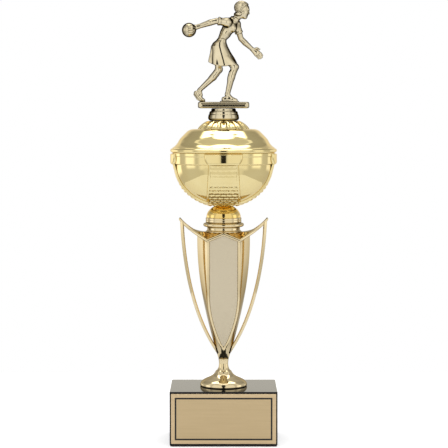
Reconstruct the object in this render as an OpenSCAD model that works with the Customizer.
// Bowling trophy: a stone base, a winged riser, a lidded bowl and a bowler figure, held
// together by a bolt from below and a threaded rod from the riser up to the figure.
// +Z is up, the front is -Y, and the origin is the centre of the underside. Millimetres.

/* [Base] */
// Width of the stone block
base_w = 76.2; // [70:0.1:90]
// Depth of the stone block, front to back
base_d = 57.2; // [50:0.1:70]
// Height of the stone block
base_h = 38.1; // [34:0.1:50]
// Thickness of the felt sheet under the block
felt_t = 0.8; // [0.5:0.1:2]
// Chamfer along the edges of the block
base_chamfer = 0.6; // [0.3:0.1:1.5]

/* [Name plate] */
// Width of the name plate
plate_w = 74; // [50:0.5:74]
// Height of the name plate
plate_h = 35.4; // [20:0.2:35.4]
// Thickness of the name plate
plate_t = 0.6; // [0.4:0.1:1.2]
// Thickness of the adhesive tape behind it
tape_t = 0.4; // [0.2:0.1:0.8]

/* [Riser] */
// Radius of the round foot
foot_r = 16.9; // [15:0.1:19]
// Radius of the stem at its thinnest
stem_r = 3.7; // [3.6:0.1:4.4]
// Half width of the body below the cap, ridge to centre
body_r = 19; // [18:0.1:20.5]
// Half width of the front and back panels
panel_r = 9.8; // [9:0.1:10.6]
// Reach of the wing tips from the centre
wing_r = 31.8; // [30:0.1:34]
// Height of a wing tip above the cap's corners
wing_rise = 14.6; // [10:0.1:16]
// Height of a gable peak above the cap's corners
gable_rise = 4.9; // [3:0.1:5.2]
// Wall of the moulded shells
wall = 1.4; // [1.2:0.1:1.6]
// Width of a handle bar, seen from the front
handle_w = 2.6; // [2.2:0.1:3]

/* [Bowl] */
// Radius of the bowl under its band
bowl_r = 35.3; // [33:0.1:37]
// Depth of the bowl below its band
bowl_depth = 28.9; // [27:0.1:31]
// Radius of the band round the bowl
band_r = 36.5; // [36.2:0.1:38]
// Height of the band
band_h = 8.2; // [7:0.1:10]
// Radius of the lid's rim bead
rim_r = 38.1; // [37.6:0.1:40]
// Height of the lid above its rim bead
lid_h = 13.8; // [12:0.1:16]
// How many textured panels stand round the bowl
trim_count = 4; // [2:1:6]

/* [Fluted collar] */
// Radius of the collar at its foot
collar_r = 18.7; // [17:0.1:20]
// Height of the collar
collar_h = 5.7; // [4.5:0.1:6]
// Number of lobes
flutes = 16; // [12:1:24]
// Depth of the groove between lobes
flute_depth = 0.9; // [0.5:0.1:1.4]

/* [Figure] */
// Length of the deck that the bowler stands on
deck_l = 36.5; // [34:0.1:42]
// Depth of the deck, front to back
deck_d = 13; // [12:0.1:16]
// Thickness of the deck
deck_t = 4.6; // [3:0.1:5]
// Radius of the bowling ball
ball_r = 5.1; // [4.6:0.1:5.4]

/* [Fasteners] */
// Radius of the rod and of the bolt's shank
rod_r = 3.175; // [3.175:0.001:3.175]
// Radius of the brass threaded inserts
insert_r = 4.75; // [4.5:0.05:5]
// Radius of the recess for the bolt under the block
recess_r = 12; // [10:0.5:14]
// Depth of that recess, from the block's underside
recess_h = 16.2; // [14:0.1:20]

/* [Hidden] */
$fn = 96;

// Clearances: glued faces, a thread drawn as a plain cylinder, and a rod in a hole
glue = 0.03;
thread_gap = 0.05;
rod_hole_r = rod_r + 0.09;

// Heights, from the underside of the felt upward
base_top = felt_t + base_h;
seat_z = felt_t + recess_h;
foot_h = 19.6;
body_z = base_top + foot_h;
corner_z = 144.8;
panel_z = 67.2;
frame_w = 1.7;
panel_sink = 0.8;
collar_z = 150.2;
ring_z = collar_z + 3.6;
bowl_foot_z = ring_z + 3;
bowl_z = bowl_foot_z + 12.8;
band_z = bowl_z + bowl_depth;
rim_z = band_z + band_h;
bead_h = 3.1;
lid_z = rim_z + bead_h;
lid_top = lid_z + lid_h;
figure_z = lid_top + collar_h;
tier_h = [4.6, 2.3, 2];
deck_z = figure_z + tier_h[0] + tier_h[1] + tier_h[2];
deck_top = deck_z + deck_t;

// Fastener sizes
washer_t = 1.6;
head_h = 4;
insert_h = 7;
head_top = seat_z - 2 * washer_t;
rod_bottom = collar_z - 3;
rod_top = deck_z - 1.2;

// Bowler: half the spread of the arms and of the legs, and the ball's place over the deck
ARM_Y = 7.4;
LEG_Y = 3.4;
ball_x = -24.4;
ball_z = 50.6;

// ---- curves and lofts ---------------------------------------------------------------

function bez(p, t) =
    pow(1 - t, 3) * p[0] + 3 * pow(1 - t, 2) * t * p[1]
    + 3 * (1 - t) * t * t * p[2] + pow(t, 3) * p[3];
function curve(p, n = 10) = [for (i = [0:n]) bez(p, i / n)];
function clamp01(v) = max(0, min(1, v));
function reversed(v) = [for (i = [len(v) - 1:-1:0]) v[i]];

// Side faces between two rings of k points, as triangles
function band_faces(a, b, k) = [
    for (j = [0:k - 1])
        let (n = (j + 1) % k)
            each [[a * k + j, b * k + j, b * k + n], [a * k + j, b * k + n, a * k + n]]
];

// Solid through a stack of rings. A ring runs out along one face and back along the
// other, so each end is closed by the strip of quads between the two.
module loft(rings) {
    k = len(rings[0]);
    last = (len(rings) - 1) * k;
    quads = [for (j = [0:k / 2 - 2]) [j, j + 1, k - 2 - j, k - 1 - j]];
    polyhedron(
        points = [for (r = rings) each r],
        faces = concat(
            [for (i = [0:len(rings) - 2]) each band_faces(i, i + 1, k)],
            [for (q = quads) each [[q[0], q[1], q[2]], [q[0], q[2], q[3]]]],
            [for (q = quads) each [[last + q[2], last + q[1], last + q[0]], [last + q[3], last + q[2], last + q[0]]]]
        )
    );
}

// Solid whose rings run round the axis and close on the first one, like a tyre
module ring_loft(rings) {
    k = len(rings[0]);
    m = len(rings);
    polyhedron(
        points = [for (r = rings) each r],
        faces = [for (i = [0:m - 1]) each band_faces(i, (i + 1) % m, k)]
    );
}

// Revolved solid from an outline of [radius, height] points
module turned(outline) rotate_extrude() polygon(outline);

// Cylinder on the axis, from height z0 to z1
module post(r, z0, z1) translate([0, 0, z0]) cylinder(r = r, h = z1 - z0);

// ---- base ---------------------------------------------------------------------------

module base_block() {
    c = base_chamfer;
    color("#141414") difference() {
        translate([0, 0, felt_t + base_h / 2]) hull() {
            cube([base_w - 2 * c, base_d - 2 * c, base_h], center = true);
            cube([base_w, base_d - 2 * c, base_h - 2 * c], center = true);
            cube([base_w - 2 * c, base_d, base_h - 2 * c], center = true);
        }
        post(recess_r, felt_t - 1, seat_z);
        post(rod_hole_r, seat_z - 1, base_top + 1);
    }
}

module base_felt() {
    margin = 0.4;
    color("#332c2a") difference() {
        translate([margin - base_w / 2, margin - base_d / 2, 0])
            cube([base_w - 2 * margin, base_d - 2 * margin, felt_t]);
        post(recess_r, -1, felt_t + 1);
    }
}

module front_sheet(w, h, t, y) {
    translate([-w / 2, -base_d / 2 - y - t, felt_t + (base_h - h) / 2]) cube([w, t, h]);
}

module name_plate() color("#c2ac83") front_sheet(plate_w, plate_h, plate_t, tape_t);
module plate_tape() color("#e8e6df") front_sheet(plate_w - 3, plate_h - 3, tape_t, 0);

// ---- riser --------------------------------------------------------------------------

module riser_foot() {
    rim = [[foot_r - 0.5, 0], [foot_r, 0.5]];
    cushion = curve([[foot_r, 1], [foot_r - 0.1, 3.8], [14.2, 4.8], [11.2, 6.1]], 8);
    flare = curve([[10.7, 6.3], [8.2, 7.5], [6.6, 8.6], [5.9, 10.2]], 8);
    stem = curve([[5.4, 10.9], [stem_r + 0.3, 11.6], [stem_r - 0.1, 13.5], [stem_r, foot_h]], 8);
    color("#e3cd8c") translate([0, 0, base_top]) difference() {
        union() {
            turned(concat([[0, 0]], rim, cushion, flare, stem, [[0, foot_h]]));
            post(stem_r - wall - 0.4, foot_h - 0.5, foot_h + 3);
        }
        post(insert_r + glue, -1, insert_h + 0.5);
        post(rod_hole_r, insert_h, insert_h + 2);
        difference() {
            post(foot_r - 2, -1, 0.9);
            post(insert_r + 2.4, -2, 2);
        }
    }
}

// Half width, panel half width, front edge half width and half depth of the body at z
function body_t(z) = clamp01((z - body_z) / (corner_z - body_z));
function ridge(z) = stem_r + (body_r - stem_r) * pow(sin(90 * body_t(z)), 0.95);
function panel_half(z) = panel_r * pow(sin(90 * clamp01((z - panel_z) / 38)), 0.85);
function corner(z) = max(panel_half(z) + frame_w, stem_r / 2);
function depth(z) = ridge(z) * (0.95 - 0.17 * body_t(z));

// Open half section of the body, y on the front side, as one closed C outline
function shell_ring(z) =
    let (a = ridge(z), c = corner(z), d = depth(z), w = wall)
        [for (p = [
            [a, -glue], [c, -d], [-c, -d], [-a, -glue],
            [-a + w, -glue], [-c + w / 2, -d + w], [c - w / 2, -d + w], [a - w, -glue]
        ]) [p[0], p[1], z]];

// Block over the panel's outline, from depth y0 to y1 out of the front face, grown by
// grow at its edges: pointed at the bottom, gabled at the top
module panel_block(y0, y1, grow) {
    rows = 20;
    cols = 8;
    z0 = panel_z + 1.5 - grow;
    function top_z(s) = corner_z - 2 + grow + (gable_rise + 0.2) * (1 - abs(s) * 0.82);
    function at(i, j, out) =
        let (s = 2 * j / cols - 1, z = z0 + (top_z(s) - z0) * i / rows)
            [s * (panel_half(z + grow) + grow), -depth(min(z, corner_z)) - out, z];
    loft([
        for (i = [0:rows])
            concat([for (j = [0:cols]) at(i, j, y1)], [for (j = [cols:-1:0]) at(i, j, y0)])
    ]);
}

module riser_shell() {
    steps = 22;
    color("#d9c27c") difference() {
        loft([for (i = [0:steps]) shell_ring(body_z + (corner_z - body_z) * i / steps)]);
        panel_block(-panel_sink, 3, glue);
    }
}
module riser_front_shell() riser_shell();
module riser_back_shell() rotate([0, 0, 180]) riser_shell();

module front_panel() color("#cdbf9b") panel_block(-panel_sink + glue, -0.15, 0);
module back_panel() rotate([0, 0, 180]) front_panel();

// Rim of the cap as [x, y, rise above the corners]: wings left and right, gables front
// and back. A quarter runs from the +X tip round to the +Y peak.
corner_x = panel_r + frame_w + 0.4;
corner_y = depth(corner_z) + 0.4;
function wing(s) = [
    corner_x + (wing_r - corner_x) * s,
    0.5 + (corner_y - 0.5) * pow(1 - s, 1.6),
    wing_rise * (0.78 * s + 0.22 * pow(s, 4))
];
function gable(s) = [corner_x * (1 - s), corner_y, gable_rise * s];
rim_quarter = concat([for (i = [14:-1:0]) wing(i / 14)], [for (i = [1:6]) gable(i / 6)]);
function flipped(points, fx, fy) = [for (p = points) [p[0] * fx, p[1] * fy, p[2]]];
function without_first(v) = [for (i = [1:len(v) - 1]) v[i]];
rim = concat(
    rim_quarter,
    without_first(reversed(flipped(rim_quarter, -1, 1))),
    flipped(rim_quarter, -1, -1),
    without_first(reversed(flipped(rim_quarter, 1, -1)))
);

// Radius of the body's top outline in the direction of rim point p
function body_out(p) =
    let (a = atan2(abs(p[1]), abs(p[0])), r = ridge(corner_z), x = corner(corner_z), y = depth(corner_z))
        a >= atan2(y, x) ? y / sin(a) : r * y / (y * cos(a) + (r - x) * sin(a));

roof_in = 10.5;
// The roof already rises a little under the collar, so its centre sits lower by this gap
roof_z = collar_z - 0.12;
roof_t = 1.6;
function reach(p) = norm([p[0], p[1]]);
// Point of the roof, as [radius, height], at radius r in the direction of rim point p
function roof_at(p, r) =
    let (s = (r - roof_in) / (reach(p) - roof_in), d = corner_z + p[2] + 0.4 - roof_z)
        [r, roof_z + d * (d > 0 ? pow(s, 2.4) : 1 - pow(1 - s, 2.2))];

// Roof that sweeps out to the rim, on a short skirt that carries on the body's faces
module riser_cap() {
    bore = 9.1;
    function roof(s) = function (p) roof_at(p, roof_in + (reach(p) - roof_in) * s);
    function under(s) = function (p)
        let (r0 = body_out(p) + 0.05, q = roof_at(p, r0 + (reach(p) - 0.1 - r0) * s))
            [q[0], max(corner_z + 0.3, q[1] - roof_t)];
    function ring(f) = [for (p = rim) let (q = f(p), k = q[0] / reach(p)) [p[0] * k, p[1] * k, q[1]]];
    color("#dcc06a") difference() {
        ring_loft([
            ring(function (p) [bore, roof_z]),
            ring(function (p) [bore, corner_z + glue]),
            ring(function (p) [body_out(p), corner_z + glue]),
            for (s = [0:0.25:1]) ring(under(s)),
            for (s = [1:-0.2:0.1]) ring(roof(s)),
            ring(roof(0))
        ]);
        for (turn = [0, 180]) rotate([0, 0, turn]) panel_block(-panel_sink, 0.2, glue);
    }
}

// Outer edge of a handle in the XZ plane, from the stem up to the wing tip
handle_edge = [[7.1, 66.5], [22.6, 88], [29.6, 121], [31.2, corner_z + 12.2]];

// Square bar set on its corner; low down its inner corners lie along the body's ridge
module handle() {
    n = 20;
    side = handle_w * 0.55;
    tip_gap = 0.2;
    function at(t) = bez(handle_edge, t);
    function lean(t) = let (d = at(t + 0.01) - at(t - 0.01)) d / norm(d);
    function outside(p) = [max(p[0], ridge(p[2]) + glue), p[1], p[2]];
    function below_wing(p) = [p[0], p[1], min(p[2], roof_at(wing(1), p[0])[1] - roof_t - tip_gap)];
    function bar(t) =
        let (p = at(t), v = lean(t), w = handle_w)
            [for (q = [[0, 0], [w / 2, side], [w, 0], [w / 2, -side]])
                below_wing(outside([p[0] - q[0] * v[1], q[1], p[1] + q[0] * v[0]]))];
    color("#d9c27c") loft([for (i = [0:n]) bar(i / n)]);
}
module right_handle() handle();
module left_handle() mirror([1, 0, 0]) handle();

module riser_collar() {
    spigot_r = 8.9;
    outline = [
        [0, collar_z - 3.6], [spigot_r, collar_z - 3.6], [spigot_r, collar_z],
        [11.8, collar_z], [11.8, ring_z - 0.5], [12.4, ring_z],
        [14, ring_z], [14.6, ring_z + 0.6], [14.6, ring_z + 1.6], [13.8, ring_z + 2.6], [12.8, bowl_foot_z],
        [0, bowl_foot_z]
    ];
    color("#dcc583") difference() {
        turned(outline);
        post(insert_r + glue, collar_z - 4, collar_z - 3 + insert_h);
        post(rod_hole_r, collar_z, bowl_foot_z + 1);
    }
}

// ---- fasteners ----------------------------------------------------------------------

module insert(z) {
    color("#b58b3c") difference() {
        post(insert_r, z, z + insert_h);
        post(rod_r + thread_gap, z - 1, z + insert_h + 1);
    }
}
module foot_insert() insert(base_top + 0.2);
module collar_insert() insert(collar_z - 3.2);
module figure_insert() insert(figure_z + 0.3);

module base_bolt() {
    across_flats = 11.1;
    color("#b9bcc0") {
        translate([0, 0, head_top - head_h])
            cylinder(d = across_flats / cos(30), h = head_h, $fn = 6);
        post(rod_r, head_top - 0.1, base_top + insert_h);
    }
}

module flat_washer() {
    color("#c9ccd0") difference() {
        post(8, seat_z - washer_t, seat_z);
        post(rod_r + 0.25, seat_z - 3, seat_z + 1);
    }
}

// Split spring washer, cut through on one side
module lock_washer() {
    color("#aeb1b5") difference() {
        post(6.1, head_top, head_top + washer_t);
        post(rod_r + 0.25, head_top - 1, seat_z);
        translate([0, 0, head_top + washer_t / 2])
            rotate([0, 35, 0]) translate([0, 5, 0]) cube([0.8, 10, 6], center = true);
    }
}

module tie_rod() color("#b9bcc0") post(rod_r, rod_bottom, rod_top);

// ---- bowl ---------------------------------------------------------------------------

// Outer radius of the bowl at height z, an ellipse that starts under the band
bowl_b = bowl_depth + 1.5;
function bowl_at(z) = bowl_r * sqrt(max(0, 1 - pow((band_z - z) / bowl_b, 2)));
// Ellipse points of the bowl, out by e, from the flat bottom up to the band
function bowl_arc(e, n = 14) = [
    for (i = [0:n])
        let (lo = asin(bowl_depth / bowl_b), a = -lo * (1 - i / n))
            [(bowl_r + e) * cos(a), band_z + (bowl_b + e) * sin(a)]
];

module bowl_foot() {
    dome_z = bowl_foot_z + 3.7;
    dome = [for (i = [0:8]) let (a = 63 * i / 8) [12.5 * cos(a), dome_z + 9.3 * sin(a)]];
    neck_r = 4.6;
    color("#d5a84a") difference() {
        turned(concat(
            [[0, bowl_foot_z + glue], [12.2, bowl_foot_z + glue], [12.5, bowl_foot_z + 0.4]], dome,
            [[neck_r, dome_z + 8.4], [neck_r, bowl_z - glue], [0, bowl_z - glue]]
        ));
        post(rod_hole_r, bowl_foot_z - 1, bowl_z + 1);
        post(neck_r + 4, bowl_foot_z - 1, bowl_foot_z + 4);
    }
}

// Raised trims on the bowl: each is a pillow on the band over a strip that widens downward
module trims() {
    proud = 1.1;
    strip = concat(bowl_arc(-wall / 2), reversed(bowl_arc(proud)));
    pillow = [
        [band_r - wall, band_z], [band_r + 0.6, band_z], [band_r + 1.5, band_z + 2.6],
        [band_r + 1.5, rim_z - 2.6], [band_r + 1, rim_z - 0.6], [band_r - wall, rim_z - 0.6]
    ];
    module wedge(top, bottom, z0, z1) {
        rotate([90, 0, 0]) linear_extrude(60)
            polygon([[-bottom, z0], [bottom, z0], [top, z1], [-top, z1]]);
    }
    for (k = [0:trim_count - 1]) rotate([0, 0, 360 * k / trim_count]) {
        intersection() {
            turned(strip);
            wedge(10.6, 12.6, bowl_z, band_z + 0.2);
        }
        intersection() {
            turned(pillow);
            wedge(14, 11.4, band_z, rim_z);
        }
    }
}

module bowl_shell() {
    floor_t = 2.2;
    inner = [for (p = bowl_arc(-wall)) if (p[1] > bowl_z + floor_t + 0.5) p];
    outline = concat(
        [[0, bowl_z]], bowl_arc(0),
        [[band_r - 0.5, band_z], [band_r - 0.3, band_z + 0.4], [band_r - 0.3, rim_z - 2.4]],
        [[band_r, rim_z - 2], [band_r, rim_z - glue], [bowl_r - wall, rim_z - glue]],
        reversed(inner), [[0, bowl_z + floor_t]]
    );
    color("#e6d27c") difference() {
        union() {
            turned(outline);
            trims();
        }
        post(rod_hole_r, bowl_z - 1, bowl_z + floor_t + 1);
    }
}

module bowl_lid() {
    w = wall + 0.2;
    shoulder = curve([[rim_r - 1.1, lid_z], [31.5, lid_z + 3.3], [29.5, lid_z + 12.6], [22, lid_top]]);
    inside = curve([[20, lid_top - w], [27.8, lid_top - 2.6], [29.4, lid_z + 3.4], [33.8, lid_z + 0.6]]);
    bead = [for (i = [0:6]) let (a = -90 + 180 * i / 6)
        [rim_r - 1.6 + 1.6 * cos(a), rim_z + bead_h / 2 + (bead_h / 2 - 0.02) * sin(a)]];
    outline = concat(
        [[0, lid_top - w]], inside, [[32.2, rim_z - 3], [bowl_r - wall - 0.15, rim_z - 3]],
        [[bowl_r - wall - 0.15, rim_z]], bead, shoulder, [[0, lid_top]]
    );
    color("#eadb93") difference() {
        turned(outline);
        post(rod_hole_r, lid_top - 4, lid_top + 1);
    }
}

module fluted_collar() {
    around = 8 * flutes;
    b = 8;
    inner = 7;
    z0 = lid_top + glue;
    z1 = figure_z - glue;
    function lobe(i) = 1 - pow(abs(sin(180 * flutes * i / around)), 3);
    function ring(r, z, cut) = [for (i = [0:around - 1])
        let (th = 360 * (i + 0.5) / around, q = r - cut * (1 - lobe(i))) [q * cos(th), q * sin(th), z]];
    dome = [for (k = [0:7]) let (z = z0 + (z1 - z0) * k / 7)
        [collar_r * sqrt(1 - pow((z - lid_top) / b, 2)), z]];
    color("#dcbc58") ring_loft(concat(
        [ring(inner, z1, 0), ring(inner, z0, 0)],
        [for (p = dome) ring(p[0], p[1], flute_depth * clamp01((figure_z - p[1]) / 1.5))]
    ));
}

// ---- figure -------------------------------------------------------------------------

module figure_base() {
    function tier(z, h, r0, r1, under) =
        [[r0 - under, z], [r0, z + under * 0.7], [r0, z + h / 2], [r1 + 0.3, z + h - 0.4], [r1, z + h]];
    z1 = figure_z + tier_h[0];
    z2 = z1 + tier_h[1];
    color("#b9a883") difference() {
        turned(concat(
            [[0, figure_z]], tier(figure_z, tier_h[0], 11.1, 10.5, 1.6),
            tier(z1, tier_h[1], 10.2, 9.4, 0.3), tier(z2, tier_h[2], 8.9, 8.2, 0.3), [[0, deck_z]]
        ));
        post(insert_r + glue, figure_z - 1, figure_z + insert_h + 0.4);
        post(rod_hole_r, figure_z, rod_top + 0.4);
    }
}

module figure_deck() {
    r = 2.2;
    color("#b3a27c") translate([0, 0, deck_z + glue]) hull()
        for (x = [-1, 1], y = [-1, 1]) {
            translate([x * (deck_l / 2 - r), y * (deck_d / 2 - r), 0.6])
                cylinder(r = r, h = deck_t - 1.2, $fn = 24);
            translate([x * (deck_l / 2 - r), y * (deck_d / 2 - r), 0])
                cylinder(r = r - 0.6, h = deck_t - glue, $fn = 24);
        }
}

// Tapered limb between two joints, each given as [x, y, z above the deck, radius]
module limb(a, b) {
    hull() for (p = [a, b])
        translate([p[0], p[1], deck_top + p[2]]) sphere(r = p[3], $fn = 20);
}
module chain(joints) for (i = [0:len(joints) - 2]) limb(joints[i], joints[i + 1]);

module bowler_figure() {
    near = -LEG_Y;
    far = LEG_Y;
    color("#c4b184") difference() {
        union() {
            // head with its roll of hair, and the neck
            limb([12.8, 0, 66.4, 5.4], [14.8, 0, 62.8, 3.2]);
            limb([12.8, 0, 66.4, 5.4], [9.2, 0, 62.8, 2.6]);
            limb([11.2, 0, 62, 2.1], [8, 0, 57.2, 2.5]);
            // torso from the chest to the hips, with the shoulders across it
            chain([[4.2, 0, 54, 4.9], [1.1, 0, 48.2, 4.4], [-1.2, 0, 44.4, 3.1], [-3.6, 0, 40, 5]]);
            limb([2.6, -ARM_Y + 2, 56.4, 2.5], [9, ARM_Y - 2, 55.4, 2.5]);
            // near arm, swung back to the ball
            chain([
                [2.6, -ARM_Y + 1.8, 56.4, 2.5], [-5.4, -ARM_Y, 57, 2.1],
                [-18.3, -ARM_Y, 52.9, 1.5], [-20.4, -ARM_Y, 52, 1.8]
            ]);
            // far arm, forward and down to the open hand
            chain([
                [9, ARM_Y - 2, 55.4, 2.5], [12.4, ARM_Y, 44.8, 1.9],
                [20.6, ARM_Y, 37.6, 1.35], [24.4, ARM_Y, 34.8, 2.2]
            ]);
            // skirt
            hull() {
                translate([-3.5, 0, deck_top + 39.6]) scale([1, 0.95, 1]) sphere(r = 5.4, $fn = 20);
                translate([5.4, 0, deck_top + 27.4]) scale([0.9, 1.5, 0.5]) sphere(r = 4.4, $fn = 20);
                translate([-6.4, 0, deck_top + 28.2]) scale([0.9, 1.5, 0.5]) sphere(r = 4.4, $fn = 20);
            }
            // near leg, forward, with its foot flat
            chain([
                [2, near, 30, 3.4], [8.1, near, 24.4, 2.8], [5.5, near, 17.2, 2.5],
                [2.7, near, 5.5, 1.65], [0.6, near, 1.7, 1.7], [8, near, 1.2, 1.4]
            ]);
            limb([2.7, near, 5.5, 1.65], [5.6, near, 1.9, 1.3]);
            // far leg, trailing, with its heel raised
            chain([
                [-3.4, far, 31, 3.4], [-3.5, far, 22.8, 2.7], [-7.4, far, 17.4, 2.4],
                [-17, far, 8.4, 1.5], [-19.3, far, 6.4, 1.7], [-16, far, 1.6, 1.5], [-14.2, far, 1.2, 1.2]
            ]);
            limb([-17, far, 8.4, 1.5], [-15.6, far, 3, 1.3]);
        }
        // flat soles, and the socket that the ball is glued into
        translate([-40, -40, deck_top - 10 + 2 * glue]) cube([80, 80, 10]);
        translate([ball_x, -ARM_Y, deck_top + ball_z]) sphere(r = ball_r + glue, $fn = 48);
    }
}

module bowling_ball() {
    color("#b7a67f") translate([ball_x, -ARM_Y, deck_top + ball_z]) sphere(r = ball_r);
}

// ---- nodes --------------------------------------------------------------------------

base_block();
base_felt();
name_plate();
plate_tape();
riser_foot();
riser_front_shell();
riser_back_shell();
front_panel();
back_panel();
left_handle();
right_handle();
riser_cap();
riser_collar();
foot_insert();
collar_insert();
base_bolt();
flat_washer();
lock_washer();
tie_rod();
bowl_foot();
bowl_shell();
bowl_lid();
fluted_collar();
figure_base();
figure_deck();
bowler_figure();
bowling_ball();
figure_insert();
